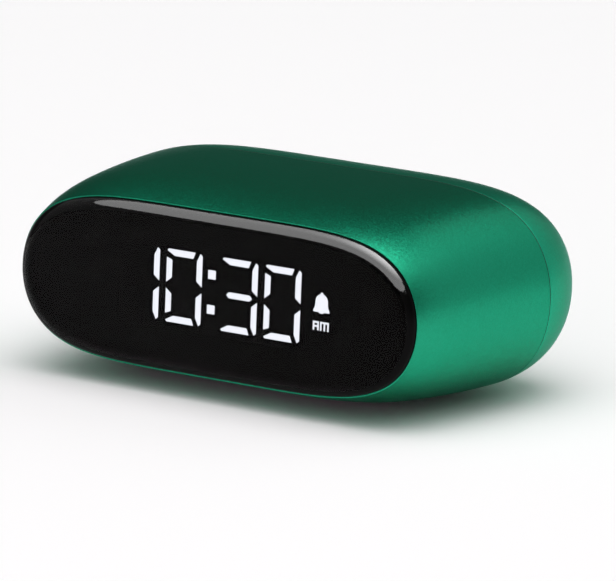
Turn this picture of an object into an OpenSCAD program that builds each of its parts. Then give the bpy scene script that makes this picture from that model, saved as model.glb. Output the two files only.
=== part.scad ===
// Digital alarm clock: a lacquered two-part body with a proud smoked window, a segment display
// behind it, and push buttons, an alarm slide switch and a charging socket on the rear face.
// Millimetres. X runs to the right seen from the front, Y to the back and Z up.
// The clock stands on its feet at Z = 0, centred in X and Y.

/* [Body] */
// Width of the body at the seam
body_w = 100; // [94:1:108]
// Height of the body at the seam
body_h = 39.8; // [38.2:0.2:44]
// Depth from the window's edge to the flat rear face
body_d = 60.5; // [57:0.5:68]
// Depth from the window's edge to the seam
seam_d = 37.5; // [35:0.5:41]
// Wall of the housing and of the rear cover
wall = 2; // [1.6:0.1:2.4]
// Swell of the side walls between the rim and the seam
crown_w = 0.3; // [0:0.1:1]
// Swell of the top and bottom walls between the rim and the seam
crown_h = 0.75; // [0.4:0.05:1.2]
// Gap that shows as the seam line
seam_gap = 0.14; // [0.06:0.02:0.3]
// Exponent of the outline across the width, higher is squarer
outline_w = 5.3; // [4.6:0.1:6]
// Exponent of the outline across the height, 2 is round
outline_h = 2.05; // [2:0.05:2.3]

/* [Window] */
// Width of the window
window_w = 87.2; // [82:0.1:91]
// Height of the window
window_h = 31.4; // [29:0.1:33]
// Height of the window above the rim
window_proud = 1.9; // [1:0.1:2.4]
// Depth of the window below the rim
window_sunk = 0.6; // [0.4:0.1:1]
// Reach of the window's rounded edge
window_round = 2.7; // [1.5:0.1:3.5]
// Width of the flat lacquered rim round the window
rim = 0.25; // [0.2:0.05:0.6]
// Radius of the rim's outer edge
rim_round = 0.12; // [0.05:0.01:0.12]
// Amount that the flank curves in towards the rim
nose_in = 1.2; // [0:0.1:1.6]
// Depth over which the flank curves in
nose_d = 18; // [12:0.5:22]

/* [Display] */
// Hour that is shown
shown_hour = 10; // [1:1:12]
// Minute that is shown
shown_minute = 30; // [0:1:59]
// Height of a digit
digit_h = 13.9; // [12.5:0.1:14.6]
// Width of a digit
digit_w = 7.95; // [7.2:0.05:8.4]
// Width of a segment's stroke
stroke = 1.25; // [1.1:0.05:1.5]
// Distance between the two digits of a pair
digit_pitch = 9.5; // [9:0.1:10]
// Distance from the colon to the middle of the nearest digit
colon_step = 6.15; // [5.9:0.05:6.6]
// Distance from the colon to the bell and the AM sign
sign_step = 24.2; // [23:0.05:25]
// Place of the colon to the right of the window's middle
colon_x = -0.95; // [-2:0.05:1]
// Height of the digits' middle above the window's middle
display_z = 0.55; // [-1:0.05:1]
// Depth of the display's reflector block
reflector_t = 4.7; // [4:0.1:6]

/* [Rear controls] */
// Diameter of a push button
button_d = 6.6; // [5.8:0.1:7]
// Height of a push button above the rear face
button_proud = 0.9; // [0.6:0.1:1.4]
// Travel of a push button
button_travel = 0.5; // [0.3:0.05:0.7]
// Distance between push buttons
button_pitch = 10; // [9.6:0.1:11]
// Width of the alarm slider's thumb tab
slider_w = 3.4; // [2.8:0.1:4]
// Travel of the alarm slider
slide_travel = 3; // [2:0.1:3.6]
// Diameter of the buzzer
buzzer_d = 12; // [9:0.5:13]
// Width of the charging socket's shell
inlet_w = 8.94; // [8.94:0.01:9.2]
// Height of the charging socket's shell
inlet_h = 3.26; // [3.16:0.01:3.4]

/* [Inside] */
// Thickness of the main board
board_t = 1.6; // [1.2:0.2:2]
// Height of the tact switches and the slide switch
switch_h = 3.5; // [3:0.1:4.5]
// Length of the battery
battery_l = 50; // [40:1:52]
// Width of the battery
battery_w = 20; // [16:0.5:20.5]
// Thickness of the battery
battery_t = 8; // [5:0.5:9]

/* [Feet] */
// Diameter of a rubber foot
foot_d = 7.2; // [5:0.2:8]
// Height of the body above the table at the seam
foot_clear = 0.6; // [0.4:0.1:1.5]

/* [Hidden] */
$fn = 48;

// Fits: pieces laid in, pieces that slide, and the step between a resin fill and its film
fit = 0.1;
slide_fit = 0.06;
film_gap = 0.02;

// Overrun of a cut, or of a boss that is trimmed, past its face
over = 1;

// Angles of the points round an outline, whose top and bottom stay one flat facet each, and the
// counts of rings along the housing, where they lie closer to the front, the dome, the rounds and
// the hidden walls
flat_angle = 18;
ring_step = 3;
ring_angles = [for (start = [0, 180], t = [flat_angle:ring_step:180 - flat_angle]) start + t];
flank_n = 10;
flank_pack = 1.6;
dome_n = 14;
round_n = 10;
inner_n = 4;
dome_inner_n = 8;
edge_n = 3;

// Half sizes of the window and of the body at the seam, and of the flank carried on to the
// window's edge without its curve
win_a = window_w / 2;
win_b = window_h / 2;
seam_a = body_w / 2;
seam_b = body_h / 2;
rim_a = win_a + rim + nose_in;
rim_b = win_b + rim + nose_in;

// Layers behind the window, counted back from its edge
print_t = 0.1;
tape_t = 0.15;
tape_w = 3;
print_inset = 0.3;
tape_inset = 0.6;
bulkhead_t = 1.5;
print_y = window_sunk;
tape_y = print_y + print_t;
recess_y = tape_y + tape_t;
bulkhead_y = recess_y + bulkhead_t;
reflector_y = tape_y + film_gap;
display_board_y = reflector_y + reflector_t;
display_board_t = 1.2;
led_size = [1.2, 0.6, 0.8];
led_room = 0.2;
resin_end = display_board_y - led_size[1] - led_room;

// Seven segments: which are lit for each number, in the order top, upper right, lower right,
// bottom, lower left, upper left, middle
number_segments = [
  [1, 1, 1, 1, 1, 1, 0], [0, 1, 1, 0, 0, 0, 0], [1, 1, 0, 1, 1, 0, 1], [1, 1, 1, 1, 0, 0, 1],
  [0, 1, 1, 0, 0, 1, 1], [1, 0, 1, 1, 0, 1, 1], [1, 0, 1, 1, 1, 1, 1], [1, 1, 1, 0, 0, 0, 0],
  [1, 1, 1, 1, 1, 1, 1], [1, 1, 1, 1, 0, 1, 1]];
shown = [floor(shown_hour / 10), shown_hour % 10, floor(shown_minute / 10), shown_minute % 10];
digit_x = [for (k = [-1, 0, 0, 1]) colon_x + k * digit_pitch]
  + colon_step * [-1, -1, 1, 1];
bar_gap = 0.35;
waist_gap = 0.55;
bar_tip = 0.1;
dot = 1.7;
dot_rise = 3.3;
bell_z = 1.45;
bell_light = -0.6;
am_z = -2.9;
am_h = 1.7;
am_w = 3.5;
am_line = 0.36;

// Reflector block and display board round the digits
block_margin = 2;
block_margin_h = 2.4;
block_x0 = colon_x - colon_step - digit_pitch - digit_w / 2 - block_margin;
block_x1 = colon_x + sign_step + am_w / 2 + block_margin;
block_h = digit_h + 2 * block_margin_h;
display_screw_inset = [9.25, 8.55];
display_screw_x = win_a - display_screw_inset[0];
display_screw_z = win_b - display_screw_inset[1];
board_edge = 3;
board_round = 2;
display_boss_d = 5;

// Screws: shaft and head radii, head height, drilled pilot
screw_r = 0.85;
screw_head_r = 1.9;
screw_head_t = 1.3;
screw_len = 5;
tip_room = 0.5;
clear_r = 1.2;

// Rear row, left to right seen from the front: buzzer, three buttons, alarm slider
flange_d = button_d + 2.4;
flange_t = 1;
flange_gap = 0.1;
cap_edge = 0.4;
mark_l = 2.8;
mark_t = 0.55;
mark_depth = 0.3;
tab_h = 3;
plate_l = slider_w + slide_travel + 3.8;
plate_h = 5.2;
plate_round = 0.5;
groove_w = 0.4;
groove_depth = 0.4;
slide_switch_w = 9.6;
slide_switch_h = 4.6;
actuator_w = 1.6;
actuator_h = 1.4;
actuator_in = 0.5;
actuator_root = 1;
slide_run = plate_l + slide_travel;
row_gap = 2;
row_w = buzzer_d + flange_d + 2 * button_pitch + slide_run + 2 * row_gap;
column_gap = 1.3;
rear_margin = [4.6, 2.1];
rear_w = row_w + 2 * rear_margin[0];
rear_h = flange_d + column_gap + inlet_h + 2 * rear_margin[1];
row_z = rear_h / 2 - rear_margin[1] - flange_d / 2;
inlet_z = -rear_h / 2 + rear_margin[1] + inlet_h / 2;
buzzer_x = -row_w / 2 + buzzer_d / 2;
button_x = buzzer_x + buzzer_d / 2 + row_gap + flange_d / 2 + button_pitch;
slider_x = row_w / 2 - slide_run / 2;
slider_rest = slide_travel / 2;

// Dome of the rear cover, from the seam to the flat rear face
dome_a = seam_a - rear_w / 2;
dome_b = seam_b - rear_h / 2;
cover_y = seam_d + seam_gap;
inside_y = body_d - wall;

// Stack behind the rear face, counted forward
cap_back = inside_y - flange_gap - flange_t;
plunger_r = 1.7;
plunger_out = 2;
plunger_in = 1.5;
switch_w = 6;
switch_top = cap_back - plunger_out;
board_back = switch_top - switch_h;
board_front = board_back - board_t;
inlet_wall = 0.3;
inlet_base = 1.5;
inlet_set_back = 0.2;
tongue_size = [6.69, 0.7];
tongue_set_back = 0.9;
buzzer_gap = 0.2;
buzzer_port_r = 1;
buzzer_port = 2.3;
sound_r = 0.7;
sound_ring = 3;
sound_n = 6;

// Main board and its stand-offs, inside the rear cover
standoff_inset = [2.2, 1.9];
standoff_x = rear_w / 2 - standoff_inset[0];
standoff_z = rear_h / 2 - standoff_inset[1];
standoff_r = 2.4;
main_board_w = 2 * (standoff_x + board_edge);
main_board_h = 2 * (standoff_z + board_edge);

// Cover screws: towers in the rear cover, ribbed to its wall, meet bosses in the housing at the seam
cover_screw_out = [5.3, 0.1];
cover_screw_x = rear_w / 2 + cover_screw_out[0];
cover_screw_z = rear_h / 2 + cover_screw_out[1];
tower_r = 3.9;
tower_rib_r = 1.2;
tower_rib_out = tower_r * sqrt(0.5);
boss_r = 3.4;
boss_l = 11;
web_t = 1.6;
well_r = 2.6;
well_floor = 3;
cover_screw_r = 1.2;
cover_head_r = 2.3;
cover_head_t = 1.8;
cover_screw_len = 8.5;
insert_r = 2;
insert_l = 6;
insert_room = 2;
lap = 1.8;
lap_t = 1;
lap_root = 3;
lap_room = 0.3;

// Battery tray on posts of the housing's floor
tray_lift = 8.9;
tray_z = tray_lift - seam_b;
tray_t = 1.6;
tray_wall = 1.2;
tray_lip = 3;
tray_play = 0.2;
pad_t = 0.5;
pad_inset = [4, 3];
pouch_round = 2.4;
post_r = 2.6;
post_out = 6;
post_x = battery_l / 2 + post_out;
battery_y0 = 14.5;
battery_y1 = battery_y0 + battery_w;
post_inset = [2, 2.5];
post_y = [battery_y0 + post_inset[0], battery_y1 - post_inset[1]];
battery_z = tray_z + tray_t + pad_t;

// Leads and cables inside
lead_r = 0.55;
wire_n = 10;
lead_step = 2;
lead_run = 3;
lead_x = 8;
plug_x = lead_x + lead_step / 2;
plug_z = -6;
plug_size = [5.8, 5, 3.8];
plug_out = 1.5;
socket_size = [7.9, 6, 5];
ribbon_w = 10;
ribbon_t = 0.6;
ribbon_x = -10;
ribbon_z = 5;
ribbon_sag = 2.5;
ribbon_n = 16;
ribbon_socket = [12, 3, 4.4];
foil_l = 36;
foil_y = [11, 29];
foil_t = 0.2;
foil_gap = 0.12;
foil_n = [12, 4];
touch_x = 12;
touch_lap = 2;
touch_run = 4;
touch_drop = 1;
chip_x = 18.5;
chip_z = 3;
chip_size = [9, 1.4, 9];
crystal_size = [3.2, 1, 2];
capacitor_r = 3.15;
capacitor_h = 5.4;

// Feet
foot_x = 16;
front_foot_y = 23;
rear_foot_step = 8.4;
rear_foot_y = cover_y + rear_foot_step;
foot_sink = 1;
stand_h = seam_b + foot_clear;

// Outline of the body: |x/a| to the power outline_w plus |z/b| to the power outline_h is 1
function outline(a, b, y) = [for (t = ring_angles)
  [a * sin(t), y, sign(cos(t)) * b * outline_rise(abs(sin(t)))]];
function outline_rise(s) = pow(max(0, 1 - pow(s, outline_w)), 1 / outline_h);
function front_view(points) = [for (p = points) [p[0], p[2]]];

// Half width and half height of the housing at a depth y: straight flare plus a crown, less the
// curve towards the rim
function flare(from, to, crown, t) = from + (to - from) * t + 4 * crown * t * (1 - t);
function nose(y) = nose_in * pow(max(0, 1 - y / nose_d), 3);
function side_a(y) = flare(rim_a, seam_a, crown_w, y / seam_d) - nose(y);
function side_b(y) = flare(rim_b, seam_b, crown_h, y / seam_d) - nose(y);

// Share of the dome's fall at a depth y, and height of the skin above the body's axis there
function dome_fall(y) = 1 - sqrt(1 - pow(max(0, y - cover_y) / (body_d - cover_y), 2));
function body_a(y) = y < cover_y ? side_a(y) : seam_a - dome_a * dome_fall(y);
function body_b(y) = y < cover_y ? side_b(y) : seam_b - dome_b * dome_fall(y);
function skin_z(x, y, inset) =
  (body_b(y) - inset) * outline_rise(min(1, abs(x) / (body_a(y) - inset)));

// Ring on the dome at the angle f, drawn in by inset from the outside
function dome_ring(f, y0, inset) = outline(
  seam_a - inset - dome_a * (1 - cos(f)),
  seam_b - inset - dome_b * (1 - cos(f)),
  y0 + (body_d - inset - y0) * sin(f));

// Places of the four corners at half distances x and z
function corners(x, z) = [[-x, -z], [x, -z], [-x, z], [x, z]];

// Solid through a list of rings, each clockwise seen from the front, closed by its end rings
module loft(rings) {
  n = len(rings[0]);
  m = len(rings);
  sides = [for (k = [0:m - 2], i = [0:n - 1])
    let (j = (i + 1) % n, a = k * n + i, b = k * n + j, c = b + n, d = a + n)
    each [[a, c, b], [a, d, c]]];
  front = [for (i = [0:n - 1]) i];
  back = [for (i = [n - 1:-1:0]) (m - 1) * n + i];
  polyhedron([for (ring = rings) each ring], concat([front], sides, [back]), convexity = 8);
}

// From the body's own frame, centred on the window's edge, to the clock standing on its feet
module place() {
  translate([0, (window_proud - body_d - button_proud) / 2, stand_h]) children();
}

// Front-view shape made solid from depth y0 to y1, a round bar along Y, and a box by its corners
module slab(y0, y1) {
  translate([0, y1, 0]) rotate([90, 0, 0]) linear_extrude(height = y1 - y0) children();
}
module rod(x, z, y0, y1, r) {
  translate([x, y0, z]) rotate([-90, 0, 0]) cylinder(h = y1 - y0, r = r);
}
module box(low, high) {
  translate(low) cube(high - low);
}
module rounded(w, h, r) {
  square([w - 2 * r, h], center = true);
  square([w, h - 2 * r], center = true);
  for (p = corners(w / 2 - r, h / 2 - r)) translate(p) circle(r);
}
module stadium(w, h) {
  square([w - h, h], center = true);
  for (s = [-1, 1]) translate([s * (w - h) / 2, 0]) circle(d = h);
}

// Cross-recessed screw along Z, with its head standing on Z = 0
module screw(r, len, head_r, head_t) {
  cross = [head_r * 1.3, head_r * 0.32];
  difference() {
    union() {
      cylinder(h = head_t, r = head_r);
      translate([0, 0, -len]) cylinder(h = len + head_t / 2, r = r);
    }
    for (c = [cross, [cross[1], cross[0]]])
      translate([0, 0, head_t]) cube([c[0], c[1], head_t], center = true);
  }
}

// Box-shaped component on a board: middle of its foot, and its size with the height in Y
module component(x, y, z, size) {
  translate([x - size[0] / 2, y, z - size[2] / 2]) cube(size);
}

// Pair of feet, or their pockets, from the table up into the skin
module feet(y, d) {
  for (x = [-foot_x, foot_x]) translate([x, y, -stand_h])
    cylinder(h = stand_h - skin_z(x, y, 0) + foot_sink, d = d);
}

// Round wire that runs from front to back through a list of points
module wire(points, r) {
  loft([for (p = points) [for (k = [0:wire_n - 1])
    p + r * [sin(360 * k / wire_n), 0, cos(360 * k / wire_n)]]]);
}

// Housing: window recess, rim, flank and inner wall as one run of rings
housing_rings = concat(
  [for (y = [recess_y, 0]) outline(win_a + fit, win_b + fit, y)],
  [for (i = [0:edge_n]) let (f = 90 * i / edge_n)
    outline(side_a(rim_round) - rim_round * (1 - sin(f)),
      side_b(rim_round) - rim_round * (1 - sin(f)), rim_round * (1 - cos(f)))],
  [for (i = [1:flank_n]) let (y = rim_round + (seam_d - rim_round) * pow(i / flank_n, flank_pack))
    outline(side_a(y), side_b(y), y)],
  [for (i = [inner_n:-1:0]) let (y = bulkhead_y + (seam_d - bulkhead_y) * i / inner_n)
    outline(side_a(y) - wall, side_b(y) - wall, y)]);

// Body of the housing out to the middle of its wall, which ends bosses and posts inside the wall
module housing_core() {
  loft([for (i = [0:inner_n]) let (y = bulkhead_y + (seam_d - bulkhead_y) * i / inner_n)
    outline(side_a(y) - wall / 2, side_b(y) - wall / 2, y)]);
}

module main_housing() color("#1d7f5c") place() difference() {
  union() {
    loft(housing_rings);
    intersection() {
      union() {
        for (p = corners(cover_screw_x, cover_screw_z)) {
          rod(p[0], p[1], seam_d - boss_l, seam_d + over, boss_r);
          translate([p[0] - web_t / 2, seam_d - boss_l, p[1] > 0 ? p[1] : -seam_b])
            cube([web_t, boss_l + over, seam_b - cover_screw_z]);
        }
        for (x = [-post_x, post_x], y = post_y)
          translate([x, y, -seam_b]) cylinder(h = tray_z + seam_b, r = post_r);
      }
      housing_core();
    }
    for (p = corners(display_screw_x, display_screw_z))
      rod(p[0], p[1], recess_y + bulkhead_t / 2, display_board_y, display_boss_d / 2);
  }
  box([block_x0 - fit, 0, display_z - block_h / 2 - fit],
    [block_x1 + fit, bulkhead_y + fit, display_z + block_h / 2 + fit]);
  for (p = corners(display_screw_x, display_screw_z))
    rod(p[0], p[1], bulkhead_y, display_board_y + over, screw_r);
  for (p = corners(cover_screw_x, cover_screw_z)) {
    rod(p[0], p[1], seam_d - insert_l, seam_d + over, insert_r);
    rod(p[0], p[1], seam_d - insert_l - insert_room, seam_d, cover_screw_r + fit);
  }
  for (x = [-post_x, post_x], y = post_y)
    translate([x, y, tray_z - screw_len]) cylinder(h = screw_len + over, r = screw_r);
  feet(front_foot_y, foot_d + 2 * fit);
}

// Rear cover: flat inside face, inner dome, lap into the housing, seam shoulder, outer dome
lap_a = side_a(seam_d - lap) - wall - fit;
lap_b = side_b(seam_d - lap) - wall - fit;
lap_angle = asin(lap_root / (inside_y - cover_y));
cover_rings = concat(
  [for (i = [dome_inner_n:-1:0])
    dome_ring(lap_angle + (90 - lap_angle) * i / dome_inner_n, cover_y, wall)],
  [for (y = [cover_y + lap_root, seam_d - lap]) outline(lap_a - lap_t, lap_b - lap_t, y)],
  [for (y = [seam_d - lap, cover_y]) outline(lap_a, lap_b, y)],
  [for (i = [0:dome_n]) dome_ring(90 * i / dome_n, cover_y, 0)]);

module cover_core() {
  loft([for (i = [0:inner_n]) dome_ring(90 * i / inner_n, seam_d, wall / 2)]);
}

module rear_cover() color("#23876a") place() difference() {
  union() {
    difference() {
      loft(cover_rings);
      for (p = corners(cover_screw_x, cover_screw_z)) {
        rod(p[0], p[1], seam_d - lap - over, seam_d, boss_r + lap_room);
        translate([p[0] - web_t / 2 - lap_room, seam_d - lap - over, p[1] > 0 ? p[1] : -seam_b])
          cube([web_t + 2 * lap_room, lap + over, seam_b - cover_screw_z]);
      }
    }
    intersection() {
      union() {
        for (p = corners(cover_screw_x, cover_screw_z)) {
          rod(p[0], p[1], seam_d - over, body_d, tower_r);
          rod(p[0] + sign(p[0]) * tower_rib_out, p[1] + sign(p[1]) * tower_rib_out,
            seam_d - over, body_d, tower_rib_r);
        }
        for (p = corners(standoff_x, standoff_z))
          rod(p[0], p[1], board_back, body_d, standoff_r);
      }
      cover_core();
    }
  }
  for (p = corners(cover_screw_x, cover_screw_z)) {
    rod(p[0], p[1], seam_d - over, body_d, cover_screw_r + 2 * fit);
    rod(p[0], p[1], seam_d + well_floor, body_d + over, well_r);
  }
  for (p = corners(standoff_x, standoff_z))
    rod(p[0], p[1], board_back - over, board_back + screw_len, screw_r);
  for (x = button_places()) rod(x, row_z, cap_back, body_d + over, button_d / 2 + slide_fit);
  translate([slider_x, 0, row_z]) slab(cap_back, body_d + over)
    square([slider_w + slide_travel + 2 * fit, tab_h + 2 * slide_fit], center = true);
  translate([0, 0, inlet_z]) slab(cap_back, body_d + over) stadium(inlet_w + 2 * fit, inlet_h + 2 * fit);
  for (p = sound_places()) rod(p[0], p[1], cap_back, body_d + over, sound_r);
  feet(rear_foot_y, foot_d + 2 * fit);
}
function button_places() = [for (k = [-1:1]) button_x + k * button_pitch];
function sound_places() = concat([[buzzer_x, 0]], [for (i = [0:sound_n - 1])
  [buzzer_x + sound_ring * cos(360 * i / sound_n), sound_ring * sin(360 * i / sound_n)]]);

// Window: flat front, quarter-round edge, straight skirt that drops into the recess
module front_window() color("#141414") place() loft(concat(
  [for (i = [round_n:-1:0]) let (f = 90 * i / round_n)
    outline(win_a - window_round * (1 - cos(f)), win_b - window_round * (1 - cos(f)),
      -window_proud * sin(f))],
  [outline(win_a, win_b, window_sunk)]));

module window_print() color("#0a0a0a") place() slab(print_y, tape_y) difference() {
  polygon(front_view(outline(win_a - print_inset, win_b - print_inset, 0)));
  translate([(block_x0 + block_x1) / 2, display_z])
    square([block_x1 - block_x0 - block_margin, block_h - block_margin], center = true);
}

module window_tape() color("#2b2b2b") place() slab(tape_y, recess_y) difference() {
  polygon(front_view(outline(win_a - tape_inset, win_b - tape_inset, 0)));
  polygon(front_view(outline(win_a - tape_w, win_b - tape_w, 0)));
}

// One segment's outline about the digit's middle. The upper and lower halves are mirrored.
function top_bar(w, h) = [[-w + bar_tip, h - bar_gap], [-w + bar_gap, h], [w - stroke - bar_gap, h],
  [w - stroke * 1.4 - bar_gap, h - stroke], [-w + stroke + bar_gap * 1.5, h - stroke]];
function right_bar(w, h) = [[w, waist_gap], [w, h - bar_gap * 1.5], [w - stroke * 0.4, h - bar_tip],
  [w - stroke, h - stroke - bar_gap], [w - stroke, waist_gap + stroke * 0.8]];
function left_bar(w, h) = [[-w, waist_gap], [-w + stroke, waist_gap + stroke * 0.8],
  [-w + stroke, h - stroke - bar_gap * 2.4], [-w, h - stroke - bar_gap]];
function middle_bar(w) = [[-w * 0.72, 0], [-w * 0.57, stroke * 0.46], [w * 0.57, stroke * 0.46],
  [w * 0.72, 0], [w * 0.57, -stroke * 0.46], [-w * 0.57, -stroke * 0.46]];
function lower(points) = [for (p = points) [p[0], -p[1]]];
function segment(k) = let (w = digit_w / 2, h = digit_h / 2) [
  top_bar(w, h), right_bar(w, h), lower(right_bar(w, h)), lower(top_bar(w, h)),
  lower(left_bar(w, h)), left_bar(w, h), middle_bar(w)][k];
function middle(points) = [for (i = [0, 1]) let (v = [for (p = points) p[i]]) (min(v) + max(v)) / 2];

// Front-view shapes of the segments of every digit that are lit (1) or not (0)
module digit_shapes(state) {
  for (d = [0:3], k = [0:6])
    if (number_segments[shown[d]][k] == state)
      translate([digit_x[d], display_z]) polygon(segment(k));
}
// Bell: knob, round shoulder, flared skirt and clapper, its right half mirrored to the left
function bell_half() = let (r = 1.35, rise = 0.3, foot = 1.75, low = -1.75) concat(
  [[0.2, r + 2 * rise], [0.3, r + rise + 0.05]],
  [for (t = [75:-15:0]) r * [cos(t), sin(t)] + [0, rise]],
  [[r + 0.05, low + 1.05], [foot, low + 0.35], [foot, low], [0.6, low], [0.35, low - 0.25]]);
function mirrored(points) = [for (i = [len(points) - 1:-1:0]) [-points[i][0], points[i][1]]];
module bell_shape() {
  polygon(concat(bell_half(), mirrored(bell_half())));
}
module a_shape() {
  w = am_w * 0.38;
  for (x = [0, w - am_line]) translate([x, 0]) square([am_line, am_h]);
  for (z = [am_h * 0.35, am_h - am_line]) translate([0, z]) square([w, am_line]);
}
module m_shape() {
  w = am_w * 0.55;
  for (k = [0:2]) translate([k * (w - am_line) / 2, 0]) square([am_line, am_h]);
  translate([0, am_h - am_line]) square([w, am_line]);
}
module sign_shapes() {
  translate([colon_x, display_z]) for (s = [-1, 1])
    translate([0, s * dot_rise]) square(dot, center = true);
  translate([colon_x + sign_step, display_z + bell_z]) bell_shape();
  translate([colon_x + sign_step - am_w / 2, display_z + am_z - am_h / 2]) {
    a_shape();
    translate([am_w * 0.45, 0]) m_shape();
  }
}
function led_places() = concat(
  [for (d = [0:3], k = [0:6]) [digit_x[d], display_z] + middle(segment(k))],
  [for (s = [-1, 1]) [colon_x, display_z + s * dot_rise]],
  [[colon_x + sign_step, display_z + bell_z + bell_light]],
  [for (s = [-0.5, 0.5]) [colon_x + sign_step + s * am_w / 2, display_z + am_z - am_h * 0.4]]);

module display_reflector() color("#1a1a1a") place() difference() {
  box([block_x0, reflector_y, display_z - block_h / 2],
    [block_x1, display_board_y, display_z + block_h / 2]);
  slab(0, resin_end) {
    digit_shapes(0);
    digit_shapes(1);
    sign_shapes();
  }
  for (p = led_places())
    component(p[0], resin_end, p[1], led_size + 2 * [led_room, led_room, led_room]);
}

module lit_segments() color("#eef2ff") place() slab(reflector_y, resin_end) {
  digit_shapes(1);
  sign_shapes();
}

module unlit_segments() color("#262626") place() slab(reflector_y, resin_end) digit_shapes(0);

module display_leds() color("#f4f0c8") place() for (p = led_places())
  component(p[0], display_board_y - led_size[1], p[1], led_size);

module display_board() color("#14502e") place() difference() {
  slab(display_board_y, display_board_y + display_board_t)
    rounded(2 * (display_screw_x + board_edge), 2 * (display_screw_z + board_edge), board_round);
  for (p = corners(display_screw_x, display_screw_z))
    rod(p[0], p[1], 0, display_board_y + display_board_t + over, clear_r);
}

// Driver chip and ribbon socket on the back of the display board
module display_chips() color("#202020") place() {
  y = display_board_y + display_board_t;
  component(chip_x, y, 0, chip_size);
  component(ribbon_x, y, ribbon_z, ribbon_socket);
}

module display_screws() color("#b8b8b8") place()
  for (p = corners(display_screw_x, display_screw_z))
    translate([p[0], display_board_y + display_board_t, p[1]]) rotate([-90, 0, 0])
      screw(screw_r, display_board_y + display_board_t - bulkhead_y, screw_head_r, screw_head_t);

module battery_tray() color("#303030") place() difference() {
  union() {
    box([-post_x - board_edge, battery_y0 - tray_wall - tray_play, tray_z],
      [post_x + board_edge, battery_y1 + tray_wall + tray_play, tray_z + tray_t]);
    box([-battery_l / 2 - tray_wall - tray_play, battery_y0 - tray_wall - tray_play, tray_z],
      [battery_l / 2 + tray_wall + tray_play, battery_y1 + tray_wall + tray_play,
        tray_z + tray_t + tray_lip]);
  }
  box([-battery_l / 2 - tray_play, battery_y0 - tray_play, tray_z + tray_t],
    [battery_l / 2 + tray_play, battery_y1 + tray_play, tray_z + tray_t + tray_lip + over]);
  for (x = [-post_x, post_x], y = post_y)
    translate([x, y, tray_z - over]) cylinder(h = tray_t + 2 * over, r = clear_r);
}

module tray_screws() color("#b8b8b8") place() for (x = [-post_x, post_x], y = post_y)
  translate([x, y, tray_z + tray_t])
    screw(screw_r, tray_t + screw_len - 2 * tip_room, screw_head_r, screw_head_t);

module battery_pad() color("#e8e4d8") place()
  box([-battery_l / 2 + pad_inset[0], battery_y0 + pad_inset[1], tray_z + tray_t],
    [battery_l / 2 - pad_inset[0], battery_y1 - pad_inset[1], tray_z + tray_t + pad_t]);

module battery() color("#c9ccd1") place() translate([0, 0, battery_z + battery_t / 2])
  slab(battery_y0, battery_y1) rounded(battery_l, battery_t, pouch_round);

// Battery lead from the pouch to its plug
module lead(x) {
  z = battery_z + battery_t / 2;
  plug_y = board_front - socket_size[1] - plug_out;
  wire([[x, battery_y1, z], [x, battery_y1 + lead_run, z], [x, plug_y - lead_run, plug_z],
    [x, plug_y, plug_z]], lead_r);
}
module red_lead() color("#c02020") place() lead(lead_x);
module black_lead() color("#181818") place() lead(lead_x + lead_step);

module battery_plug() color("#efe9da") place()
  component(plug_x, board_front - socket_size[1] - plug_out, plug_z, plug_size);

// Flat cable between the boards, sagging by a parabola
module ribbon_cable() color("#b9bcc4") place() {
  y0 = display_board_y + display_board_t + ribbon_socket[1];
  y1 = board_front - ribbon_socket[1];
  line = [for (i = [0:ribbon_n]) let (t = i / ribbon_n)
    [y0 + (y1 - y0) * t, ribbon_z - 4 * ribbon_sag * t * (1 - t)]];
  translate([ribbon_x - ribbon_w / 2, 0, 0]) rotate([90, 0, 90]) linear_extrude(height = ribbon_w)
    polygon(concat(line, [for (i = [ribbon_n:-1:0]) line[i] + [0, ribbon_t]]));
}

// Copper foil glued under the top wall, curved as the wall is
module touch_foil() color("#b87333") place() loft([for (j = [0:foil_n[1]])
  let (y = foil_y[0] + (foil_y[1] - foil_y[0]) * j / foil_n[1])
  let (xs = [for (i = [0:foil_n[0]]) foil_l * (i / foil_n[0] - 0.5)])
  concat([for (x = xs) [x, y, skin_z(x, y, wall) - foil_gap]],
    [for (i = [foil_n[0]:-1:0]) [xs[i], y, skin_z(xs[i], y, wall) - foil_gap - foil_t]])]);

module touch_lead() color("#e0c040") place() {
  y = foil_y[1] - touch_lap;
  z = skin_z(touch_x, y, wall) - foil_gap - foil_t - lead_r - fit;
  end_z = standoff_z + touch_drop;
  wire([[touch_x, y, z], [touch_x, y + touch_run, z - touch_drop],
    [touch_x, board_front - touch_run, end_z], [touch_x, board_front, end_z]], lead_r);
}

module main_board() color("#14502e") place() difference() {
  slab(board_front, board_back) rounded(main_board_w, main_board_h, board_round);
  for (p = corners(standoff_x, standoff_z))
    rod(p[0], p[1], board_front - over, board_back + over, clear_r);
}

// Processor, crystal, capacitor and the two sockets on the front of the main board
module board_components() color("#202020") place() {
  component(ribbon_x, board_front - ribbon_socket[1], ribbon_z, ribbon_socket);
  difference() {
    component(plug_x, board_front - socket_size[1], plug_z, socket_size);
    component(plug_x, board_front - socket_size[1] - plug_out, plug_z,
      plug_size + 2 * [fit, 0, fit]);
  }
  component(chip_x, board_front - chip_size[1], chip_z, chip_size);
  component(0, board_front - crystal_size[1], inlet_z, crystal_size);
  rod(-chip_x, inlet_z, board_front - capacitor_h, board_front, capacitor_r);
}

module board_screws() color("#b8b8b8") place() for (p = corners(standoff_x, standoff_z))
  translate([p[0], board_front, p[1]]) rotate([90, 0, 0])
    screw(screw_r, board_t + screw_len - tip_room, screw_head_r, screw_head_t);

module tact_switches() color("#1c1c1c") place() for (x = button_places()) difference() {
  box([x - switch_w / 2, board_back, row_z - switch_w / 2],
    [x + switch_w / 2, switch_top, row_z + switch_w / 2]);
  rod(x, row_z, switch_top - plunger_in - button_travel - fit, switch_top + over, plunger_r + slide_fit);
}

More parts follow.
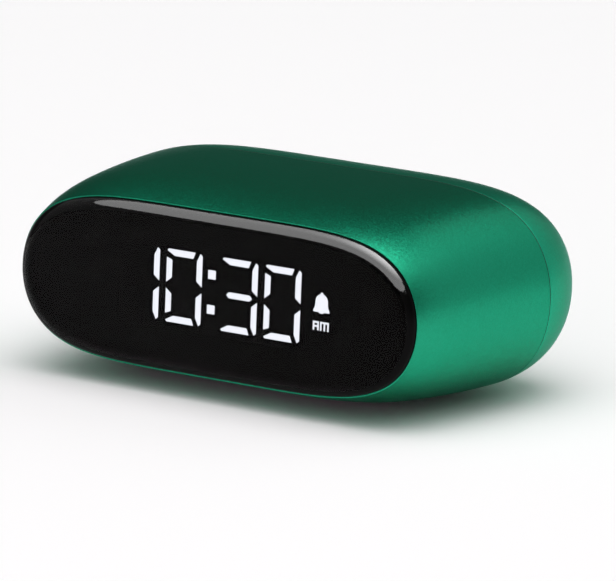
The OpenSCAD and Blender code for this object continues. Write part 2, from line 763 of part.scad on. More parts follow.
module plunger(x) {
  rod(x, row_z, switch_top - plunger_in, cap_back, plunger_r);
}
module set_plunger() color("#d8d4c8") place() plunger(button_places()[0]);
module up_plunger() color("#d8d4c8") place() plunger(button_places()[1]);
module down_plunger() color("#d8d4c8") place() plunger(button_places()[2]);

// Button cap with its retaining flange and a softened edge
module cap(x) {
  r = button_d / 2;
  top = body_d + button_proud - cap_back;
  translate([x, cap_back, row_z]) rotate([-90, 0, 0]) rotate_extrude() union() {
    square([flange_d / 2, flange_t]);
    square([r, top - cap_edge]);
    square([r - cap_edge, top]);
    translate([r - cap_edge, top - cap_edge]) circle(cap_edge);
  }
}
// Sign cut into the face of a cap
module cap_mark(x, w, h) {
  translate([x, body_d + button_proud, row_z]) cube([w, 2 * mark_depth, h], center = true);
}
module set_button() color("#1b6b4f") place() difference() {
  cap(button_places()[0]);
  for (s = [-1, 0, 1]) translate([0, 0, s * 2 * mark_t]) cap_mark(button_places()[0], mark_l, mark_t);
}
module up_button() color("#1b6b4f") place() difference() {
  cap(button_places()[1]);
  cap_mark(button_places()[1], mark_l, mark_t);
  cap_mark(button_places()[1], mark_t, mark_l);
}
module down_button() color("#1b6b4f") place() difference() {
  cap(button_places()[2]);
  cap_mark(button_places()[2], mark_l, mark_t);
}

// Slide switch body, its actuator and the knob that the thumb moves
module slide_switch() color("#8d9094") place() difference() {
  component(slider_x, board_back, row_z, [slide_switch_w, switch_h, slide_switch_h]);
  translate([slider_x, 0, row_z]) slab(switch_top - actuator_root, switch_top + over)
    square([actuator_w + slide_travel + 2 * fit, actuator_h + 2 * fit], center = true);
}
module slide_actuator() color("#d8d4c8") place()
  translate([slider_x + slider_rest, 0, row_z])
    slab(switch_top - actuator_root + fit, cap_back + actuator_in)
      square([actuator_w, actuator_h], center = true);

module alarm_slider() color("#1b6b4f") place() translate([slider_x + slider_rest, 0, row_z])
  difference() {
    union() {
      slab(cap_back, cap_back + flange_t) rounded(plate_l, plate_h, plate_round);
      slab(cap_back, body_d + button_proud) square([slider_w, tab_h], center = true);
    }
    slab(cap_back - over, cap_back + actuator_in + slide_fit)
      square([actuator_w + 2 * slide_fit, actuator_h + 2 * slide_fit], center = true);
    for (k = [-1:1]) translate([k * slider_w / 4, body_d + button_proud, 0])
      cube([groove_w, 2 * groove_depth, tab_h + over], center = true);
  }

// Charging socket standing on the board, open to the rear
module inlet_shell() color("#c4c7cb") place() translate([0, 0, inlet_z]) difference() {
  slab(board_back, body_d - inlet_set_back) stadium(inlet_w, inlet_h);
  slab(board_back + inlet_base, body_d + over)
    stadium(inlet_w - 2 * inlet_wall, inlet_h - 2 * inlet_wall);
}
module inlet_tongue() color("#202020") place() translate([0, 0, inlet_z])
  slab(board_back + inlet_base, body_d - tongue_set_back) square(tongue_size, center = true);

module buzzer() color("#141414") place() difference() {
  rod(buzzer_x, 0, board_back, inside_y - buzzer_gap, buzzer_d / 2);
  rod(buzzer_x, 0, inside_y - buzzer_gap - buzzer_port, inside_y, buzzer_port_r);
}

module cover_screws() color("#9a9a9a") place() for (p = corners(cover_screw_x, cover_screw_z))
  translate([p[0], seam_d + well_floor, p[1]]) rotate([-90, 0, 0])
    screw(cover_screw_r, cover_screw_len, cover_head_r, cover_head_t);

module brass_inserts() color("#b5913c") place() for (p = corners(cover_screw_x, cover_screw_z))
  difference() {
    rod(p[0], p[1], seam_d - insert_l, seam_d, insert_r);
    rod(p[0], p[1], seam_d - insert_l - over, seam_d + over, cover_screw_r + film_gap);
  }

module rubber_feet() color("#161616") place() for (y = [front_foot_y, rear_foot_y]) feet(y, foot_d);

main_housing();
rear_cover();
front_window();
window_print();
window_tape();
display_reflector();
lit_segments();
unlit_segments();
display_leds();
display_board();
display_chips();
display_screws();
battery_tray();
tray_screws();
battery_pad();
battery();
red_lead();
black_lead();
battery_plug();
ribbon_cable();
touch_foil();
touch_lead();
main_board();
board_components();
board_screws();
tact_switches();
set_plunger();
up_plunger();
down_plunger();
set_button();
up_button();
down_button();
slide_switch();
slide_actuator();
alarm_slider();
inlet_shell();
inlet_tongue();
buzzer();
cover_screws();
brass_inserts();
rubber_feet();
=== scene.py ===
import math

import bmesh
import bpy
import numpy as np
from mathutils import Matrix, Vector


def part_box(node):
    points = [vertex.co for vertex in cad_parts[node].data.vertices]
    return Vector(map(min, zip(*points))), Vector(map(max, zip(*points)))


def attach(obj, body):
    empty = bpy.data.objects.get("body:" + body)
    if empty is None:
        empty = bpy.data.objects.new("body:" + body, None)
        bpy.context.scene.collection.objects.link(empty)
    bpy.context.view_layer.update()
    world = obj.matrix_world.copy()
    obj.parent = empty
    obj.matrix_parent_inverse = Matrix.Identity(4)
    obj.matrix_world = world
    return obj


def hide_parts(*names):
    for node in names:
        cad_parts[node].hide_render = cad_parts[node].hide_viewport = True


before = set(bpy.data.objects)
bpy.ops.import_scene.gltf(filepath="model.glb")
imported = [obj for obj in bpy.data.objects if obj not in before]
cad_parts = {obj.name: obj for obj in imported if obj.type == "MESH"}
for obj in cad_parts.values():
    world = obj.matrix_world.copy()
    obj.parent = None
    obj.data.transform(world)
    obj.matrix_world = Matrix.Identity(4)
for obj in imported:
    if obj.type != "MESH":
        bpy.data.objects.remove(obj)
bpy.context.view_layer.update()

# Main housing
# The front shell of the body, injection moulded in ABS and sprayed with a metallic green lacquer.
# It is an open tube that flares to the seam and curves in to a narrow rim round the window's recess.
# A bulkhead behind the recess carries the display, and the rear cover meets its plain rear edge.
MM = 0.001
housing_low, housing_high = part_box("main_housing")
window_low, window_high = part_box("front_window")
cover_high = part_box("rear_cover")[1]
block_low, block_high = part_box("display_reflector")
axis_z = (window_low.z + window_high.z) / 2
front_y = housing_low.y
seam_y = housing_high.y
window_half = np.array([window_high.x, window_high.z - axis_z])
seam_half = np.array([housing_high.x, cover_high.z - axis_z])
rim = 0.25 * MM
rim_round = 0.12 * MM
nose_in = 1.2 * MM
nose_depth = 18 * MM
rim_half = window_half + rim + nose_in
seam_round = 0.05 * MM
wall = 2 * MM
crown = np.array([0.3, 0.75]) * MM
recess_depth = 0.85 * MM
recess_play = 0.1 * MM
bulkhead = 1.5 * MM
outline_powers = (5.3, 2.05)
round_points = 400
flank_rings = 70
flank_crowding = 1.6
crease = math.radians(35)


def outline(half, y):
    """Ring at the depth y whose points keep |x / half width| to the first power plus |z / half height|
    to the second power at 1. The angle t runs once round it, with x following its sine."""
    t = np.linspace(0, 2 * np.pi, round_points, endpoint=False)
    across, along = outline_powers
    rise = np.maximum(0, 1 - np.abs(np.sin(t)) ** across) ** (1 / along)
    x = half[0] * np.sin(t)
    z = axis_z + np.sign(np.cos(t)) * half[1] * rise
    return np.stack([x, np.full_like(x, y), z], 1)


def flank_half(y):
    """Half width and half height at the depth y: a straight flare from the rim to the seam, plus a crown
    that follows a parabola and is highest halfway, less the cube by which the nose curves in."""
    t = (y - front_y) / (seam_y - front_y)
    nose = nose_in * max(0, 1 - (y - front_y) / nose_depth) ** 3
    return rim_half + (seam_half - rim_half) * t + 4 * crown * t * (1 - t) - nose


def rectangle(low, high, y):
    """Ring at the depth y round a rectangle. Each point lies on the ray from the rectangle's middle to
    the outline's point."""
    ring = outline(window_half, y)
    middle = np.array([(low.x + high.x) / 2, (low.z + high.z) / 2])
    half = np.array([(high.x - low.x) / 2, (high.z - low.z) / 2])
    ray = ring[:, [0, 2]] - middle
    ring[:, [0, 2]] = middle + ray / np.max(np.abs(ray) / half, axis=1, keepdims=True)
    return ring


def quarter(start, end, steps):
    """Sine and cosine pairs that run from the angle start to the angle end, in degrees."""
    f = np.radians(np.linspace(start, end, steps))
    return np.stack([np.sin(f), np.cos(f)], 1)


def new_piece(name, vertices, faces):
    """Mesh object with outward faces, shaded smooth except across edges sharper than the crease."""
    mesh = bpy.data.meshes.new(name)
    mesh.from_pydata(np.asarray(vertices).tolist(), [], faces)
    piece = bpy.data.objects.new(name, mesh)
    bpy.context.scene.collection.objects.link(piece)
    shape = bmesh.new()
    shape.from_mesh(mesh)
    bmesh.ops.recalc_face_normals(shape, faces=shape.faces)
    shape.to_mesh(mesh)
    shape.free()
    mesh.polygons.foreach_set("use_smooth", np.ones(len(mesh.polygons), bool))
    mesh.set_sharp_from_angle(angle=crease)
    return piece


def loft(name, rings, closed=False):
    """Surface through rings of equal count: quads join each ring to the next, and the two end rings are
    joined to each other where the loft is closed, or are each filled by one flat face."""
    rings = np.asarray(rings)
    count, points = rings.shape[:2]
    k = np.arange(count if closed else count - 1)[:, None]
    i = np.arange(points)[None, :]
    j = (i + 1) % points
    after = (k + 1) % count
    quads = np.stack([k * points + i, k * points + j, after * points + j, after * points + i], -1)
    faces = quads.reshape(-1, 4).tolist()
    if not closed:
        faces.append(list(range(points)))
        faces.append(list(range((count - 1) * points, count * points)))
    return new_piece(name, rings.reshape(-1, 3), faces)


def linear(code):
    """Linear colour of an sRGB hex value."""
    value = np.array([int(code[i:i + 2], 16) for i in (1, 3, 5)]) / 255
    bent = np.where(value <= 0.04045, value / 12.92, ((value + 0.055) / 1.055) ** 2.4)
    return (*bent.tolist(), 1.0)


def node(tree, kind, sockets=None, **settings):
    """Adds a node, sets its own settings, and gives each socket named or numbered a value or a link."""
    made = tree.nodes.new("ShaderNode" + kind)
    for name, value in settings.items():
        setattr(made, name, value)
    for name, value in (sockets or {}).items():
        if isinstance(value, bpy.types.NodeSocket):
            tree.links.new(value, made.inputs[name])
        else:
            made.inputs[name].default_value = value
    return made


def new_material(name):
    """Material with an empty tree, and the socket with places on the piece in metres."""
    made = bpy.data.materials.new(name)
    made.use_nodes = True
    made.node_tree.nodes.clear()
    places = node(made.node_tree, "TexCoord").outputs["Object"]
    return made, made.node_tree, places


def show(tree, sockets):
    """Gives the material its one surface shader."""
    shader = node(tree, "BsdfPrincipled", sockets)
    node(tree, "OutputMaterial", {"Surface": shader.outputs["BSDF"]})


def metallic_lacquer(name, deep, bright, edge, roughness, coat):
    """Lacquer with aluminium flakes under a satin clear coat: each flake lies at its own slight tilt and
    catches the light by itself, so the paint looks grainy close by and even from afar. Real flakes are
    about 0.03 mm; they are drawn at flake so that they show."""
    flake = 0.22 * MM
    tilt = 0.12
    cloud = 9 * MM
    flake_share, cloud_share = 0.5, 0.4
    coat_roughness = 0.3
    made, tree, places = new_material(name)
    cells = node(tree, "TexVoronoi", {"Vector": places, "Scale": 1 / flake}).outputs["Color"]
    lean = node(tree, "VectorMath", {0: cells, 1: (tilt,) * 3, 2: (-tilt / 2,) * 3},
                operation="MULTIPLY_ADD")
    upright = node(tree, "NewGeometry").outputs["Normal"]
    leaning = node(tree, "VectorMath", {0: upright, 1: lean.outputs[0]}, operation="ADD")
    normal = node(tree, "VectorMath", {0: leaning.outputs[0]}, operation="NORMALIZE")
    cell = node(tree, "SeparateColor", {0: cells}).outputs[0]
    mist = node(tree, "TexNoise", {"Vector": places, "Scale": 1 / cloud, "Detail": 2.0}).outputs["Fac"]
    grain = node(tree, "Math", {0: cell, 1: flake_share}, operation="MULTIPLY")
    mixed = node(tree, "Math", {0: mist, 1: cloud_share, 2: grain.outputs[0]}, operation="MULTIPLY_ADD")
    colour = node(tree, "Mix", {0: mixed.outputs[0], 6: linear(deep), 7: linear(bright)},
                  data_type="RGBA")
    show(tree, {"Base Color": colour.outputs[2], "Metallic": 1.0, "Roughness": roughness,
                "Specular Tint": linear(edge), "Normal": normal.outputs[0], "Coat Weight": coat,
                "Coat Roughness": coat_roughness})
    return made


flank_y = front_y + rim_round
flank_depth = seam_y - seam_round - flank_y
housing_flank = flank_y + flank_depth * np.linspace(0, 1, flank_rings) ** flank_crowding
housing_inner = np.linspace(seam_y, front_y + recess_depth + bulkhead, 12)
rim_middle = flank_half(flank_y)
housing_rings = [rectangle(block_low, block_high, front_y + recess_depth),
                 outline(window_half + recess_play, front_y + recess_depth),
                 outline(window_half + recess_play, front_y)]
housing_rings += [outline(rim_middle - rim_round * (1 - s), front_y + rim_round * (1 - c))
                  for s, c in quarter(0, 90, 7)]
housing_rings += [outline(flank_half(y), y) for y in housing_flank[1:]]
housing_rings += [outline(flank_half(seam_y) - seam_round * (1 - c), seam_y - seam_round * (1 - s))
                  for s, c in quarter(15, 90, 4)]
housing_rings += [outline(flank_half(y) - wall, y) for y in housing_inner]
housing_rings += [rectangle(block_low, block_high, front_y + recess_depth + bulkhead)]
housing = loft("housing_shell", housing_rings, closed=True)
housing_paint = metallic_lacquer("metallic_green_lacquer", "#12956e", "#1ea680", "#6ab0a8", 0.33, 0.22)
housing.data.materials.append(housing_paint)
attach(housing, "clock")
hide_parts("main_housing")

# Brass inserts
# Four knurled brass bushes, pressed hot into the bosses at the seam to take the cover screws.
# Turned brass shows fine rings from the tool.


def dress(material, *names):
    """Gives a finish to CAD nodes by name."""
    for name in names:
        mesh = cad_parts[name].data
        mesh.materials.clear()
        mesh.materials.append(material)


def turned_metal(name, code, roughness):
    """Turned or drawn metal: fine streaks change the roughness along the piece."""
    streak = 0.12 * MM
    rough_spread, rough_drop = 0.25, 0.12
    made, tree, places = new_material(name)
    stretched = node(tree, "Mapping", {"Vector": places, "Scale": (1, 0.1, 1)}).outputs[0]
    lines = node(tree, "TexNoise", {"Vector": stretched, "Scale": 1 / streak}).outputs["Fac"]
    rough = node(tree, "Math", {0: lines, 1: rough_spread, 2: roughness - rough_drop},
                 operation="MULTIPLY_ADD")
    show(tree, {"Base Color": linear(code), "Metallic": 1.0, "Roughness": rough.outputs[0]})
    return made


dress(turned_metal("turned_brass", "#c9a24e", 0.35), "brass_inserts")

# Display
# A black moulded reflector block with a light shaft for each segment, filled with milky resin. Small
# lamps on a circuit board shine into the shafts, and the board is screwed to bosses of the housing.
lamp_strength = 3.8


def moulded_plastic(name, code, roughness, grain=0.15, gloss=0.5):
    """Injection moulded plastic with a spark-eroded texture: a fine grain, given in millimetres, breaks
    the gloss and lets the colour vary a little. The gloss is the specular level of its skin."""
    shade = 0.8
    rough_spread, rough_drop = 0.2, 0.1
    bump_strength, bump_depth = 0.3, 0.02 * MM
    made, tree, places = new_material(name)
    speck = node(tree, "TexNoise", {"Vector": places, "Scale": 1 / (grain * MM),
                                    "Detail": 3.0}).outputs["Fac"]
    dark = tuple(shade * c for c in linear(code)[:3]) + (1.0,)
    colour = node(tree, "Mix", {0: speck, 6: dark, 7: linear(code)}, data_type="RGBA")
    rough = node(tree, "Math", {0: speck, 1: rough_spread, 2: roughness - rough_drop},
                 operation="MULTIPLY_ADD")
    bump = node(tree, "Bump", {"Height": speck, "Strength": bump_strength, "Distance": bump_depth})
    show(tree, {"Base Color": colour.outputs[2], "Roughness": rough.outputs[0],
                "Normal": bump.outputs[0], "Specular IOR Level": gloss})
    return made


def lit_resin(name, code, strength):
    """Milky resin lit from behind: an even glow with a faint cloudiness from its filler."""
    cloud = 1.5 * MM
    made, tree, places = new_material(name)
    mist = node(tree, "TexNoise", {"Vector": places, "Scale": 1 / cloud}).outputs["Fac"]
    white = linear("#ffffff")
    colour = node(tree, "Mix", {0: mist, 6: linear(code), 7: white}, data_type="RGBA")
    show(tree, {"Base Color": colour.outputs[2], "Roughness": 0.5, "Emission Color": linear(code),
                "Emission Strength": strength})
    return made


def circuit_board(name, code, copper):
    """Glass-fibre board under solder mask: tracks show as paler lines in the lacquer."""
    pitch = 1.27 * MM
    made, tree, places = new_material(name)
    cells = node(tree, "TexBrick", {"Vector": places, "Scale": 1 / pitch, "Mortar Size": 0.12,
                                    "Color1": linear(code), "Color2": linear(code),
                                    "Mortar": linear(copper)}, offset_frequency=3)
    show(tree, {"Base Color": cells.outputs["Color"], "Roughness": 0.35})
    return made


black_plastic = moulded_plastic("black_abs", "#191919", 0.5)
board_mask = circuit_board("green_solder_mask", "#0f4a2a", "#1f6a40")
zinc_steel = turned_metal("zinc_plated_steel", "#b4b6b8", 0.35)
dress(moulded_plastic("black_reflector_plastic", "#060606", 0.7, gloss=0.0), "display_reflector")
dress(lit_resin("lit_milky_resin", "#f3f6ff", lamp_strength), "lit_segments")
# The unlit segments' milky resin is coloured near black: painted shade for segments with no light behind
# them.
dress(moulded_plastic("unlit_milky_resin", "#0c0c0c", 0.6, gloss=0.0), "unlit_segments")
dress(moulded_plastic("clear_lamp_resin", "#efe6b4", 0.3), "display_leds")
dress(board_mask, "display_board")
dress(black_plastic, "display_chips")
dress(zinc_steel, "display_screws")

# Front window
# A smoked acrylic moulding with a rounded edge that stands proud of the rim. Its faces take three copies
# of
# the acrylic by the way they point: the upward part of the edge has a high gloss and a hard coat, which
# paint a bright reflected band, the rest of the edge is opaque black as painted shade, and the front face
# has a low gloss that dims its reflection as painted shade. Its back is printed black round the display,
# and a ring of adhesive tape holds it in the recess.
window_round = 2.7 * MM
window_play = 0.05 * MM
window_proud = front_y - window_low.y
window_sunk = window_high.y - front_y - window_play
smoke = "#8a8a8a"


def smoked_acrylic(name, code, gloss, coat):
    """Acrylic dyed dark: clear enough for the lit segments, black over anything unlit. The gloss scales
    its reflection, and the coat lays a hard glossy layer over it. A low gloss dims the face's reflection
    as painted shade, and a high gloss under the coat paints a bright reflection on the edge."""
    flow = 30 * MM
    polish = 0.02
    made, tree, places = new_material(name)
    swirl = node(tree, "TexNoise", {"Vector": places, "Scale": 1 / flow}).outputs["Fac"]
    rough = node(tree, "Math", {0: swirl, 1: polish, 2: polish}, operation="MULTIPLY_ADD")
    show(tree, {"Base Color": linear(code), "Roughness": rough.outputs[0], "IOR": 1.49,
                "Specular Tint": (gloss, gloss, gloss, 1.0), "Transmission Weight": 1.0,
                "Coat Weight": coat, "Coat Roughness": polish, "Coat IOR": 2.25})
    return made


window_rings = [outline(window_half - window_round * (1 - c), front_y - window_proud * s)
                for s, c in quarter(90, 0, 24)]
window_rings.append(outline(window_half, front_y + window_sunk))
window = loft("window_pane", window_rings)
# Three copies of the acrylic: a low-gloss face as painted shade, a glossy coated edge as a painted
# reflection, and an opaque black edge as painted shade.
window.data.materials.append(smoked_acrylic("smoked_acrylic_dimmed_face", smoke, 0.06, 0.0))
window.data.materials.append(smoked_acrylic("smoked_acrylic_painted_reflection", smoke, 1.0, 1.0))
window.data.materials.append(moulded_plastic("acrylic_painted_shade_edge", "#050505", 0.3, 0.05, 0.06))
face_n = len(window.data.polygons)
facing = np.zeros(face_n * 3)
window.data.polygons.foreach_get("normal", facing)
facing = facing.reshape(-1, 3)
# The faces are sorted by the way they point: an upward band of the edge gets the painted reflection, and
# the rest of the rounded edge gets the opaque black painted shade.
painted_reflection_up, painted_reflection_rise, painted_reflection_turn = 0.15, 0.35, 0.1
painted_reflection_middle, painted_reflection_reach = 0.19, 0.49
painted_reflection_front, painted_shade_edge_limit = 0.48, 0.9
painted_reflection_faces = facing[:, 2] > painted_reflection_up + painted_reflection_rise * np.maximum(0, facing[:, 0] - painted_reflection_turn)
painted_reflection_faces &= (np.abs(facing[:, 0] - painted_reflection_middle) < painted_reflection_reach) & (facing[:, 1] < -painted_reflection_front)
edge = (np.abs(facing[:, 1]) < painted_shade_edge_limit) & ~painted_reflection_faces
window.data.polygons.foreach_set("material_index", (painted_reflection_faces + 2 * edge).astype(np.int32))
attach(window, "clock")
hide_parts("front_window")
dress(moulded_plastic("black_screen_print", "#020202", 0.8, 0.4, 0.0), "window_print")
dress(moulded_plastic("black_foam_tape", "#1c1c1c", 0.9, 0.3), "window_tape")

# Battery
# A foil pouch on a strip of foam in a black tray, which four screws hold to posts of the housing's
# floor. Its two leads end in a white plug, and a flat cable joins the two boards above it.
dress(black_plastic, "battery_tray")
dress(zinc_steel, "tray_screws")
dress(moulded_plastic("foam_strip", "#d9d3bd", 0.95, 0.4), "battery_pad")
dress(turned_metal("laminated_foil", "#c3c6ca", 0.4), "battery")
dress(moulded_plastic("red_wire_insulation", "#b01c18", 0.45), "red_lead")
dress(moulded_plastic("black_wire_insulation", "#141414", 0.45), "black_lead")
dress(moulded_plastic("white_nylon", "#e8e2d2", 0.5), "battery_plug")
dress(moulded_plastic("grey_cable_insulation", "#b4b7be", 0.5), "ribbon_cable")

# Touch sensor
# A copper foil glued under the top wall feels a hand on the top, which stops the alarm for a while.
# A thin yellow wire joins it to the main board.
dress(turned_metal("copper_foil", "#c77f55", 0.4), "touch_foil")
dress(moulded_plastic("yellow_wire_insulation", "#d0b030", 0.45), "touch_lead")

# Main board
# The second circuit board is screwed to stand-offs inside the rear cover. It carries the switches, the
# buzzer and the charging socket, which all reach the rear face.
dress(board_mask, "main_board")
dress(black_plastic, "board_components", "tact_switches", "buzzer", "inlet_tongue")
dress(zinc_steel, "board_screws")
dress(turned_metal("stamped_steel", "#9a9da1", 0.4), "slide_switch")
dress(turned_metal("drawn_steel", "#c4c7cb", 0.3), "inlet_shell")
dress(moulded_plastic("ivory_nylon", "#d8d2c2", 0.5), "set_plunger", "up_plunger", "down_plunger",
      "slide_actuator")

# Rear cover
# The rear shell, moulded in black ABS and lacquered like the housing but with a more satin coat. Its lap
# and its rim at the seam are left black, as painted shade that draws the seam as a dark line. It domes to
# a flat rear face, and has openings for the controls and wells for four screws.
rear_half = np.array([33.7, 8.88]) * MM
rear_y = cover_high.y
seam_gap = 0.14 * MM
dome_y = seam_y + seam_gap
dome_half = seam_half - rear_half
lap_depth = 1.8 * MM
lap_wall = 1.0 * MM
lap_root = 3.0 * MM
lap_play = 0.1 * MM
mouth_round = 0.25 * MM
bore_points = 64


def dome(angle, inset):
    """Ring on the dome: a quarter ellipse from the seam, at 0 degrees, to the flat rear face, at 90. The
    inset draws it in evenly from the outside."""
    s, c = math.sin(math.radians(angle)), math.cos(math.radians(angle))
    return outline(seam_half - inset - dome_half * (1 - c), dome_y + (rear_y - inset - dome_y) * s)


def bore(x, z, radius, y0, y1, mouth=0.0):
    """Rings of a round cutter along Y from y0 to y1, whose mouth at the rear face flares by a quarter
    round."""
    t = np.linspace(0, 2 * np.pi, bore_points, endpoint=False)
    steps = [(radius, y0)]
    if mouth:
        steps += [(radius + mouth * (1 - c), rear_y - mouth * (1 - s)) for s, c in quarter(0, 90, 5)]
        radius = radius + mouth
    steps.append((radius, y1))
    return [np.stack([x + r * np.cos(t), np.full_like(t, y), z + r * np.sin(t)], 1) for r, y in steps]


def slot_rings(x, z, width, height, corner, y0, y1, mouth):
    """Rings of a cutter with a rounded rectangle's outline, flared at the rear face like a bore."""
    t = np.linspace(0, 2 * np.pi, bore_points, endpoint=False) + np.pi / bore_points
    side_x = np.sign(np.cos(t)) * (width / 2 - corner)
    side_z = np.sign(np.sin(t)) * (height / 2 - corner)
    steps = [(corner, y0)]
    steps += [(corner + mouth * (1 - c), rear_y - mouth * (1 - s)) for s, c in quarter(0, 90, 5)]
    steps.append((corner + mouth, y1))
    return [np.stack([x + side_x + r * np.cos(t), np.full_like(t, y), z + side_z + r * np.sin(t)], 1)
            for r, y in steps]


def middle(name):
    """Middle of a CAD node's box."""
    low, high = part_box(name)
    return (low + high) / 2


def cut(piece, cutters):
    """Takes the cutters' solids out of a piece and shades the result as new pieces are."""
    bpy.context.view_layer.update()
    for cutter in cutters:
        tool = piece.modifiers.new("opening", "BOOLEAN")
        tool.operation = "DIFFERENCE"
        tool.solver = "EXACT"
        tool.object = cutter
    bpy.context.view_layer.update()
    graph = bpy.context.evaluated_depsgraph_get()
    shaped = bpy.data.meshes.new_from_object(piece.evaluated_get(graph))
    piece.modifiers.clear()
    piece.data = shaped
    shaped.polygons.foreach_set("use_smooth", np.ones(len(shaped.polygons), bool))
    shaped.set_sharp_from_angle(angle=crease)
    for cutter in cutters:
        bpy.data.objects.remove(cutter)


cover_rings = [dome(angle, wall) for angle in np.linspace(90, 12, 16)]
lap_half = flank_half(seam_y - lap_depth) - wall - lap_play
cover_rings += [outline(lap_half - lap_wall, y) for y in (dome_y + lap_root, seam_y - lap_depth)]
cover_rings += [outline(lap_half, y) for y in (seam_y - lap_depth, dome_y)]
cover_rings += [outline(seam_half - seam_round * (1 - s), dome_y + seam_round * (1 - c))
                for s, c in quarter(0, 75, 4)]
cover_rings += [dome(angle, 0) for angle in np.linspace(2, 90, 64)]
cover = loft("rear_cover_shell", cover_rings)
cut_inside, cut_outside = 1.2 * MM, 2 * MM
inside_y = rear_y - wall - cut_inside
outside_y = rear_y + cut_outside
button_radius = 3.36 * MM
slot_size, slot_corner = (6.6 * MM, 3.12 * MM), 0.3 * MM
sound_radius = 0.7 * MM
sound_ring = 3 * MM
well_radius = 2.6 * MM
well_floor = seam_y + 3 * MM
screw_head = 2.3 * MM
openings = []
for button in ("set_button", "up_button", "down_button"):
    place = middle(button)
    openings.append(bore(place.x, place.z, button_radius, inside_y, outside_y, mouth_round))
place = middle("slide_switch")
openings.append(slot_rings(place.x, place.z, *slot_size, slot_corner, inside_y, outside_y, mouth_round))
inlet_low, inlet_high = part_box("inlet_shell")
inlet_size = (inlet_high.x - inlet_low.x + 2 * recess_play, inlet_high.z - inlet_low.z + 2 * recess_play)
inlet_corner = inlet_size[1] / 2 - 0.01 * MM
place = middle("inlet_shell")
openings.append(slot_rings(place.x, place.z, *inlet_size, inlet_corner, inside_y, outside_y, mouth_round))
place = middle("buzzer")
openings.append(bore(place.x, place.z, sound_radius, inside_y, outside_y, mouth_round / 2))
for angle in np.radians(np.arange(0, 360, 60)):
    openings.append(bore(place.x + sound_ring * math.cos(angle), place.z + sound_ring * math.sin(angle),
                         sound_radius, inside_y, outside_y, mouth_round / 2))
screw_low, screw_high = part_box("cover_screws")
well_x = screw_high.x - screw_head
well_z = (screw_high.z - screw_low.z) / 2 - screw_head
for x in (-well_x, well_x):
    for z in (axis_z - well_z, axis_z + well_z):
        openings.append(bore(x, z, well_radius, well_floor, outside_y))
cut(cover, [loft("opening_%d" % i, rings) for i, rings in enumerate(openings)])
cover_paint = metallic_lacquer("satin_green_lacquer", "#17a37b", "#26b58e", "#6ab0a8", 0.36, 0.24)
cover.data.materials.append(cover_paint)
# The black plastic on the lap and the rim at the seam is painted shade for the seam's dark line.
cover.data.materials.append(black_plastic)
centres = np.zeros(len(cover.data.polygons) * 3)
cover.data.polygons.foreach_get("center", centres)
seam_painted_shade = centres[1::3] < dome_y + seam_round
cover.data.polygons.foreach_set("material_index", seam_painted_shade.astype(np.int32))
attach(cover, "clock")
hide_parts("rear_cover")

# Rear controls
# Three push buttons and the alarm slider, moulded in green plastic with a matt grain. Each button is
# trapped by its flange behind the rear face and presses a switch; bars cut into its face mark it.
button_plastic = moulded_plastic("matt_green_abs", "#1a6a4e", 0.5, 0.2)
dress(button_plastic, "set_button", "up_button", "down_button", "alarm_slider")

# Cover screws
# Four zinc-plated cross-head screws at the bottom of the wells draw the cover to the brass inserts.
dress(zinc_steel, "cover_screws")

# Feet
# Four black rubber discs, glued into shallow pockets under the body, keep it from sliding.
dress(moulded_plastic("black_rubber", "#131313", 0.8, 0.3), "rubber_feet")

# Studio
# A white paper floor in a room that is dark in front and a little paler behind. A large softbox leans over
# the front of the clock, turned a little and brightest at its right, and a pale card stands at the right
# rear. A low fill lamp, faintly pink, takes the lacquer's green out of the shadow.
floor_half = 8.0
floor_code = "#fafafa"
room_front, room_rear = "#262626", "#666666"
softbox_lean, softbox_turn = math.radians(10), math.radians(15)
softbox_away = 5.0
softbox_left, softbox_right, softbox_low, softbox_high = -0.8, 1.3, -2.4, 0.68
softbox_edge, softbox_spot = 0.83, 3.1
spot_place = (0.45, 0.81)
spot_reach = 0.38
card_away, card_size = 3.0, (5.6, 4.6)
card_edge, card_spot = 0.45, 0.95
card_spot_place, card_spot_reach = (0.5, 1.0), 0.75
card_azimuth = math.radians(60)
fill_place, fill_size, fill_radiance = (-0.3, -2.5, 0.35), (3.0, 0.6), 2.6
fill_code = "#ffb4de"


def plain_surface(name, code, roughness):
    """Even matt surface of the studio."""
    made, tree, _ = new_material(name)
    show(tree, {"Base Color": linear(code), "Roughness": roughness, "Specular IOR Level": 0.0})
    return made


def softbox(name, place, towards, width, height, edge, spot, spot_place, spot_reach, turn=0.0):
    """Rectangular lamp that faces a direction. Its radiance falls smoothly from a spot to the edge value,
    with the spot's place and reach as shares of its width and height."""
    lamp = bpy.data.lights.new(name, "AREA")
    lamp.shape = "RECTANGLE"
    lamp.size = width
    lamp.size_y = height
    lamp.energy = math.pi * width * height
    lamp.use_nodes = True
    tree = lamp.node_tree
    cloth = node(tree, "NewGeometry").outputs["Parametric"]
    away = node(tree, "VectorMath", {0: cloth, 1: (*spot_place, 0)}, operation="DISTANCE")
    glow = node(tree, "MapRange", {"Value": away.outputs["Value"], "From Min": 0.0,
                                   "From Max": spot_reach, "To Min": spot, "To Max": edge},
                interpolation_type="SMOOTHSTEP")
    tree.links.new(glow.outputs[0], tree.nodes["Emission"].inputs["Strength"])
    made = bpy.data.objects.new(name, lamp)
    bpy.context.scene.collection.objects.link(made)
    made.location = place
    made.rotation_euler = Vector(towards).to_track_quat("-Z", "Y").to_euler()
    made.rotation_euler.rotate_axis("Z", turn)
    return made


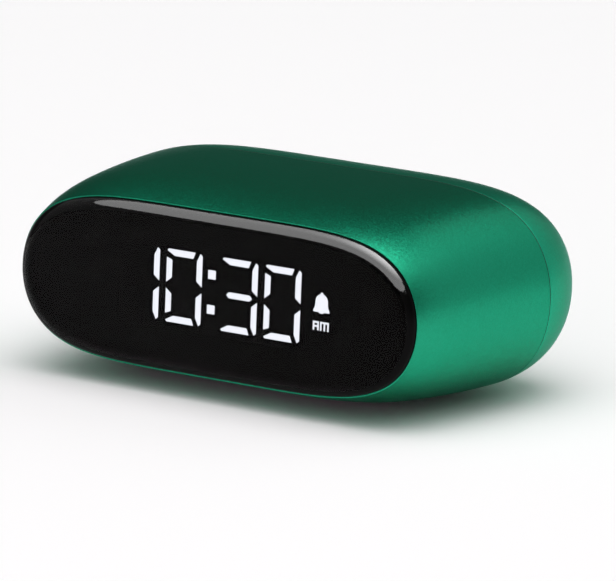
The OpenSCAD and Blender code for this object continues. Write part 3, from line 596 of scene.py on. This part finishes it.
corners = [(x * floor_half, y * floor_half, 0) for x, y in ((-1, -1), (1, -1), (1, 1), (-1, 1))]
floor = new_piece("floor", corners, [[0, 1, 2, 3]])
floor.data.materials.append(plain_surface("white_paper", floor_code, 0.9))
room = bpy.data.worlds.new("room")
room.use_nodes = True
tree = room.node_tree
direction = node(tree, "TexCoord").outputs["Generated"]
depth = node(tree, "SeparateXYZ", {0: direction}).outputs["Y"]
share = node(tree, "MapRange", {"Value": depth, "From Min": -1.0, "From Max": 1.0})
shade = node(tree, "Mix", {0: share.outputs[0], 6: linear(room_front), 7: linear(room_rear)},
             data_type="RGBA")
tree.links.new(shade.outputs[2], tree.nodes["Background"].inputs["Color"])
bpy.context.scene.world = room
outward = np.array([0, -math.sin(softbox_lean), math.cos(softbox_lean)])
along = np.array([0, math.cos(softbox_lean), math.sin(softbox_lean)])
across = np.array([1, 0, 0])
along, across = (math.cos(softbox_turn) * along + math.sin(softbox_turn) * across,
                 math.cos(softbox_turn) * across - math.sin(softbox_turn) * along)
middle_right = (softbox_left + softbox_right) / 2
middle_along = (softbox_low + softbox_high) / 2
place = softbox_away * (outward + middle_along * along + middle_right * across)
softbox("softbox", place, -outward, softbox_away * (softbox_right - softbox_left),
        softbox_away * (softbox_high - softbox_low), softbox_edge, softbox_spot, spot_place, spot_reach,
        -softbox_turn)
inward = np.array([-math.cos(card_azimuth), -math.sin(card_azimuth), 0])
place = np.array([0, 0, card_size[1] / 2]) - card_away * inward
softbox("card", place, inward, *card_size, card_edge, card_spot, card_spot_place, card_spot_reach)
fill = softbox("fill", fill_place, (0, 1, 0), *fill_size, fill_radiance, fill_radiance, (0.5, 0.5), 1.0)
fill.data.color = linear(fill_code)[:3]
fill.visible_glossy = False

# Camera
# It stands to the right of the clock and a little above it, rolled slightly, with a long lens.
picture_width = 616
sensor = 36
azimuth = math.radians(31.896)
elevation = math.radians(11.744)
roll = math.radians(-2.308)
distance = 1.1656
shift_right = -17.05 * MM
shift_up = -0.956 * MM
focal_pixels = 6270.3
backward = np.array([math.sin(azimuth) * math.cos(elevation), -math.cos(azimuth) * math.cos(elevation),
                     math.sin(elevation)])
level = np.array([math.cos(azimuth), math.sin(azimuth), 0])
upward = np.cross(backward, level)
right = math.cos(roll) * level - math.sin(roll) * upward
top = math.sin(roll) * level + math.cos(roll) * upward
lens = bpy.data.cameras.new("camera")
lens.sensor_width = sensor
lens.lens = focal_pixels / picture_width * sensor
lens.clip_start = 0.01
camera = bpy.data.objects.new("camera", lens)
bpy.context.scene.collection.objects.link(camera)
eye = np.array([0, front_y, axis_z]) + distance * backward - shift_right * right - shift_up * top
turned = np.eye(4)
turned[:3, :] = np.stack([right, top, backward, eye], 1)
camera.matrix_world = Matrix(turned.tolist())
bpy.context.scene.camera = camera
bpy.context.scene.view_settings.view_transform = "Standard"
